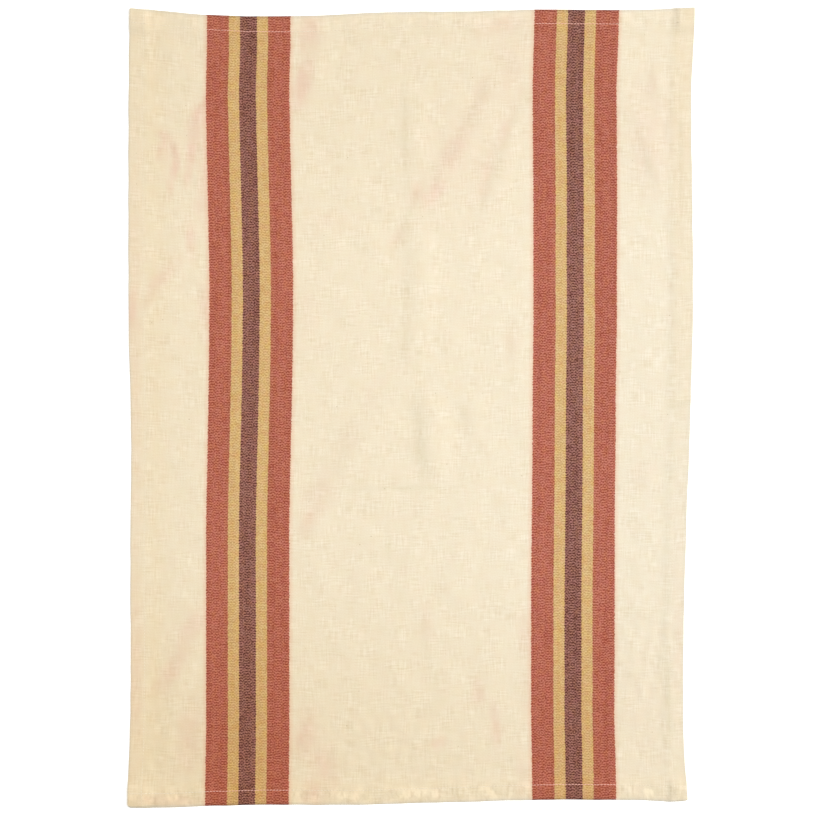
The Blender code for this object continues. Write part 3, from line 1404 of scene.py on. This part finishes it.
        # Each noise is given its contrast, and then its level.
        blots = node("MULTIPLY_ADD", grains["blots"], 1.4, 0.3)
        crease_speckle = node("MULTIPLY_ADD", grains["crease_speckle"], 2.4, -0.2)
        bleed = node("MULTIPLY", node("MULTIPLY", worn["dye_bleed"], plain), blots)
        # Painted shade along the creases and the hem seams, broken up by a speckle noise.
        painted_crease_shade = node("MULTIPLY", node("MULTIPLY", worn["fold_mark"], plain), crease_speckle)
        tints = [
            (bleed, "#FDEFF2"),
            (painted_crease_shade, "#F6F6F2"),
            # Painted shade at both ends, at the right and on the hems.
            (worn["soft_shade"], "#FBFBFB"),
            # A warmer tone, with painted shade towards the lower left and over the hems.
            (worn["toning"], "#FAF1E0"),
            # Painted shadow along the edges, and deeper on the bands.
            (worn["rim"], "#E6EDF9"),
            (node("MULTIPLY", worn["rim"], dyed), "#DCDCDC"),
            # Painted shade on the bands towards the low end.
            (node("MULTIPLY", worn["low_end"], dyed), "#FDF9F8"),
        ]
        for name, where, tint in (
            ("long cream clouds", plain, "#FFFCFB"),
            ("wide cream clouds", plain, "#FEFEFA"),
            ("long band clouds", dyed, "#FFFBE2"),
            ("wide band clouds", dyed, "#FFF2FA"),
        ):
            cloud = node("MapRange", grains[name], 0.4, 0.7)
            tints.append((node("MULTIPLY", cloud, where), tint))
        return tints


@dataclass(frozen=True)
class SewingThread:
    """Spun polyester-cotton sewing thread: cream, matt with a faint shine, and stained
    salmon by the dye where it crosses the bands. Its twist is drawn about six times as
    coarse as its plies, to show."""

    bands: tuple[float, float]
    name: str = "spun_sewing_thread"
    shade: str = "#DDCFB8"
    light: str = "#E6DBC6"
    stained: str = "#F3BEAE"
    roughness: float = 0.7
    ply: float = 0.35
    slant: float = 45.0
    coarseness: float = 0.05
    stain_half: float = 1.0

    def material(self) -> Material:
        """Build the thread's material: its twist shows as fine slanting bands.

        Returns:
            The material, on Object coordinates.
        """
        material, shader, node = new_material(
            self.name, Roughness=self.roughness, Specular_IOR_Level=0.3
        )
        place = node("TexCoord").outputs["Object"]
        slant = (0.0, 0.0, np.radians(self.slant))
        turned = node("Mapping", place, sockets={"Rotation": slant})
        wave = {"Scale": self.coarseness / (self.ply * MM), "Distortion": 0.6}
        twist = node("TexWave", turned, sockets=wave).outputs["Fac"]
        colour = node("ValToRGB", twist, stops=((0.0, self.shade), (1.0, self.light))).outputs[0]
        across = node("SeparateXYZ", place)
        outside, inside = RED_EDGE + self.stain_half, RED_EDGE - self.stain_half
        for band in self.bands:
            from_band = node("ABSOLUTE", node("SUBTRACT", across, band * MM))
            stain = node("MapRange", from_band, outside * MM, inside * MM)
            pair = {COLOUR_A: colour, COLOUR_B: self.stained}
            mixed = node("Mix", stain, sockets=pair, data_type="RGBA")
            colour = mixed.outputs[COLOUR_OUT]
        material.node_tree.links.new(colour, shader.inputs["Base Color"])
        return material


@dataclass(frozen=True)
class StudioPaper:
    """White seamless background paper, lit from behind as well: matt and even, and bright
    enough to swallow the towel's faint shadow."""

    name: str = "white_background_paper"
    colour: str = "#FBFBFA"
    grain: float = 0.8
    roughness: tuple[float, float] = (0.9, 1.0)
    glow: float = 0.4

    def material(self) -> Material:
        """Build the paper's material, with a faint grain in its roughness.

        Returns:
            The material, on Object coordinates.
        """
        white = linear_colour(self.colour)
        material, shader, node = new_material(
            self.name,
            Base_Color=white,
            Specular_IOR_Level=0.1,
            Emission_Color=white,
            Emission_Strength=self.glow,
        )
        place = node("TexCoord").outputs["Object"]
        grain = node("TexNoise", place, sockets={"Scale": 1.0 / (self.grain * MM)})
        rough = node("MapRange", grain, 0.0, 1.0, *self.roughness)
        material.node_tree.links.new(rough.outputs[0], shader.inputs["Roughness"])
        return material


# ---- the studio


@dataclass
class Studio:
    """A white floor, a soft light from the upper right and a camera straight above."""

    view_width: float = 0.7265
    aim: tuple[float, float] = (-0.0009, -0.00225)
    lens: float = 85.0
    film: float = 36.0
    far: float = 20.0
    floor_size: float = 8.0
    floor_drop: float = 0.0003
    sky: float = 0.62
    lamp_place: tuple[float, float, float] = (4.2, 1.9, 5.2)
    lamp_size: float = 2.6
    lamp_power: float = 430.0

    def floor(self) -> None:
        """Lay the floor, one large square just under the towel."""
        signs = np.array([[-1.0, -1.0], [1.0, -1.0], [1.0, 1.0], [-1.0, 1.0]])
        places = np.column_stack([signs * self.floor_size / 2.0, np.full(4, -self.floor_drop)])
        floor = add_mesh("studio_floor", places, [(0, 1, 2, 3)])
        floor.data.materials.append(StudioPaper().material())

    def light(self) -> None:
        """Light the room evenly in white, and hang one soft square lamp."""
        world = bpy.data.worlds.new("studio")
        bpy.context.scene.world = world
        world.use_nodes = True
        background = world.node_tree.nodes["Background"]
        background.inputs["Color"].default_value = (1.0, 1.0, 1.0, 1.0)
        background.inputs["Strength"].default_value = self.sky
        lamp = bpy.data.lights.new("soft_lamp", "AREA")
        lamp.shape = "SQUARE"
        lamp.size = self.lamp_size
        lamp.energy = self.lamp_power
        hung = add_object("soft_lamp", lamp)
        hung.location = self.lamp_place
        hung.rotation_euler = (-Vector(self.lamp_place)).to_track_quat("-Z", "Y").to_euler()

    def camera(self) -> None:
        """Hold the camera straight above the towel: its distance is the view's width
        times the lens over the film's width."""
        data = bpy.data.cameras.new("overhead_camera")
        data.lens = self.lens
        data.sensor_width = self.film
        data.clip_end = self.far
        camera = add_object("overhead_camera", data)
        camera.location = (*self.aim, self.view_width * self.lens / self.film)
        bpy.context.scene.camera = camera


# ---- main


def main() -> None:
    """Build the towel's cloth and stitching, dress them and set up the studio."""
    logging.basicConfig(level=logging.INFO, format="%(name)s: %(message)s")
    bpy.context.scene.view_settings.view_transform = "Standard"
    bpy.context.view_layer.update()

    studio = Studio()
    studio.camera()
    studio.light()
    studio.floor()
    log.info("studio: floor, lamp and camera")

    low_corner, high_corner = (np.array(corner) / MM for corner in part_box(CLOTH_NODE))
    width, length, _ = (float(side) for side in high_corner - low_corner)
    cloth = TowelCloth(width, length)
    bands = (cloth.left_band - width / 2.0, cloth.right_band - width / 2.0)
    towel = cloth.build()
    towel.data.materials.append(StripedCotton(bands).material())
    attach(towel, BODY)
    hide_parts(CLOTH_NODE)
    log.info("%s: %d faces before thickening", towel.name, len(towel.data.polygons))

    thread = SewingThread(bands).material()
    for run in HemRun:
        for face in ClothFace:
            stitches = HemStitching(cloth, run, face).build()
            stitches.data.materials.append(thread)
            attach(stitches, BODY)
            log.info("%s: %d faces", stitches.name, len(stitches.data.polygons))


if __name__ == "__main__":
    main()
